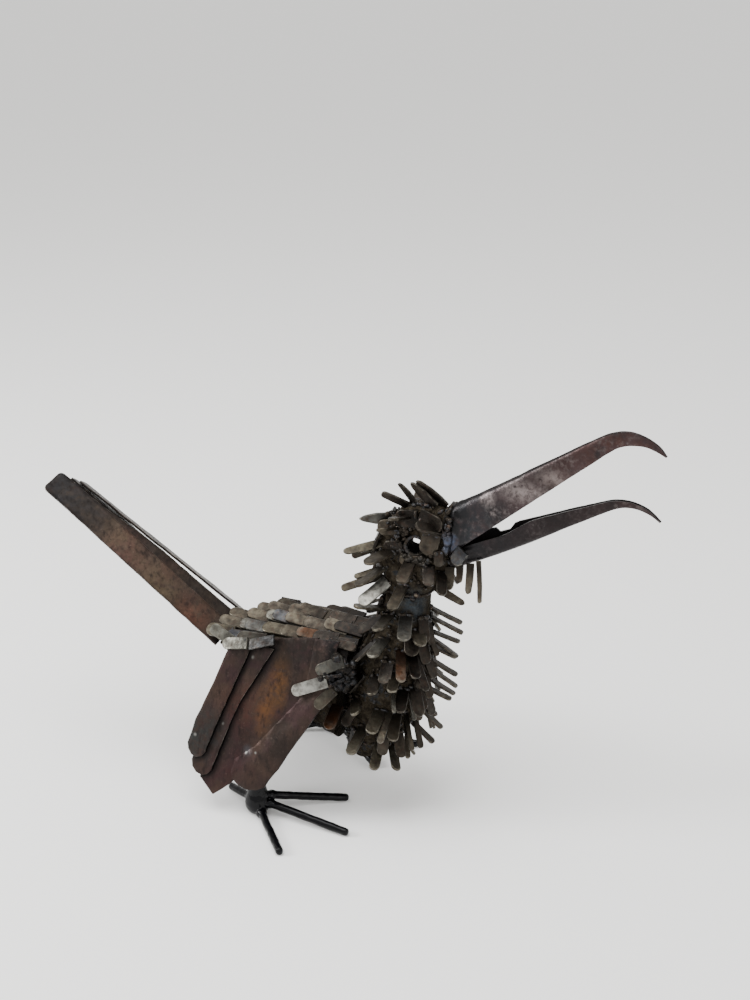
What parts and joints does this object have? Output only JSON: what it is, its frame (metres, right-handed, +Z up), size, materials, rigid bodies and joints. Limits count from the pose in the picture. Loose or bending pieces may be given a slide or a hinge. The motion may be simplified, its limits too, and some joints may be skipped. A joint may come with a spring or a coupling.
{
  "type": "metal hornbill sculpture",
  "caption": "Hornbill sculpture welded from scrap steel, standing on two splayed feet with its long beak open and its tail raised.",
  "frame": {"origin": "middle of the bounding box at ground level, under the feet", "axes": "+X from tail to beak, +Y to the bird's left, +Z up"},
  "size_m": [0.558, 0.2564, 0.3672],
  "materials": {
    "feather_steel": "heat-tinted, rusty and worn mild steel, satin with bright worn edges",
    "rusted_sheet_steel": "dark purplish-brown heat-tinted sheet with rust-orange patches, satin",
    "burnished_beak_steel": "dark burnished steel with glossy highlights",
    "black_painted_bar": "glossy black paint over round bar and weld"
  },
  "bodies": {
    "root": {"beak_lower": "burnished_beak_steel", "beak_upper": "burnished_beak_steel", "beard_feather_1": "feather_steel", "beard_feather_2": "feather_steel", "beard_feather_3": "feather_steel", "beard_feather_4": "feather_steel", "beard_feather_5": "feather_steel", "beard_feather_6": "feather_steel", "breast": "feather_steel", "crest_feather_1": "feather_steel", "crest_feather_2": "feather_steel", "crest_feather_3": "feather_steel", "crest_feather_4": "feather_steel", "crest_feather_5": "feather_steel", "foot_left_ball": "black_painted_bar", "foot_left_toe_hind": "black_painted_bar", "foot_left_toe_inner": "black_painted_bar", "foot_left_toe_middle": "black_painted_bar", "foot_left_toe_outer": "black_painted_bar", "foot_right_ball": "black_painted_bar", "foot_right_toe_hind": "black_painted_bar", "foot_right_toe_inner": "black_painted_bar", "foot_right_toe_middle": "black_painted_bar", "foot_right_toe_outer": "black_painted_bar", "head": "feather_steel", "leg_left": "black_painted_bar", "leg_right": "black_painted_bar", "nape_feather_1": "feather_steel", "nape_feather_2": "feather_steel", "nape_feather_3": "feather_steel", "nape_feather_4": "feather_steel", "nape_feather_5": "feather_steel", "shoulder_left_feather_1": "feather_steel", "shoulder_left_feather_2": "feather_steel", "shoulder_right_feather_1": "feather_steel", "shoulder_right_feather_2": "feather_steel", "tail_feather_1": "rusted_sheet_steel", "tail_feather_2": "rusted_sheet_steel", "tail_feather_3": "rusted_sheet_steel", "tail_feather_4": "rusted_sheet_steel", "torso": "feather_steel", "wing_left_feather_1": "rusted_sheet_steel", "wing_left_feather_2": "rusted_sheet_steel", "wing_left_feather_3": "rusted_sheet_steel", "wing_left_feather_4": "rusted_sheet_steel", "wing_right_feather_1": "rusted_sheet_steel", "wing_right_feather_2": "rusted_sheet_steel", "wing_right_feather_3": "rusted_sheet_steel", "wing_right_feather_4": "rusted_sheet_steel"}
  },
  "joints": []
}
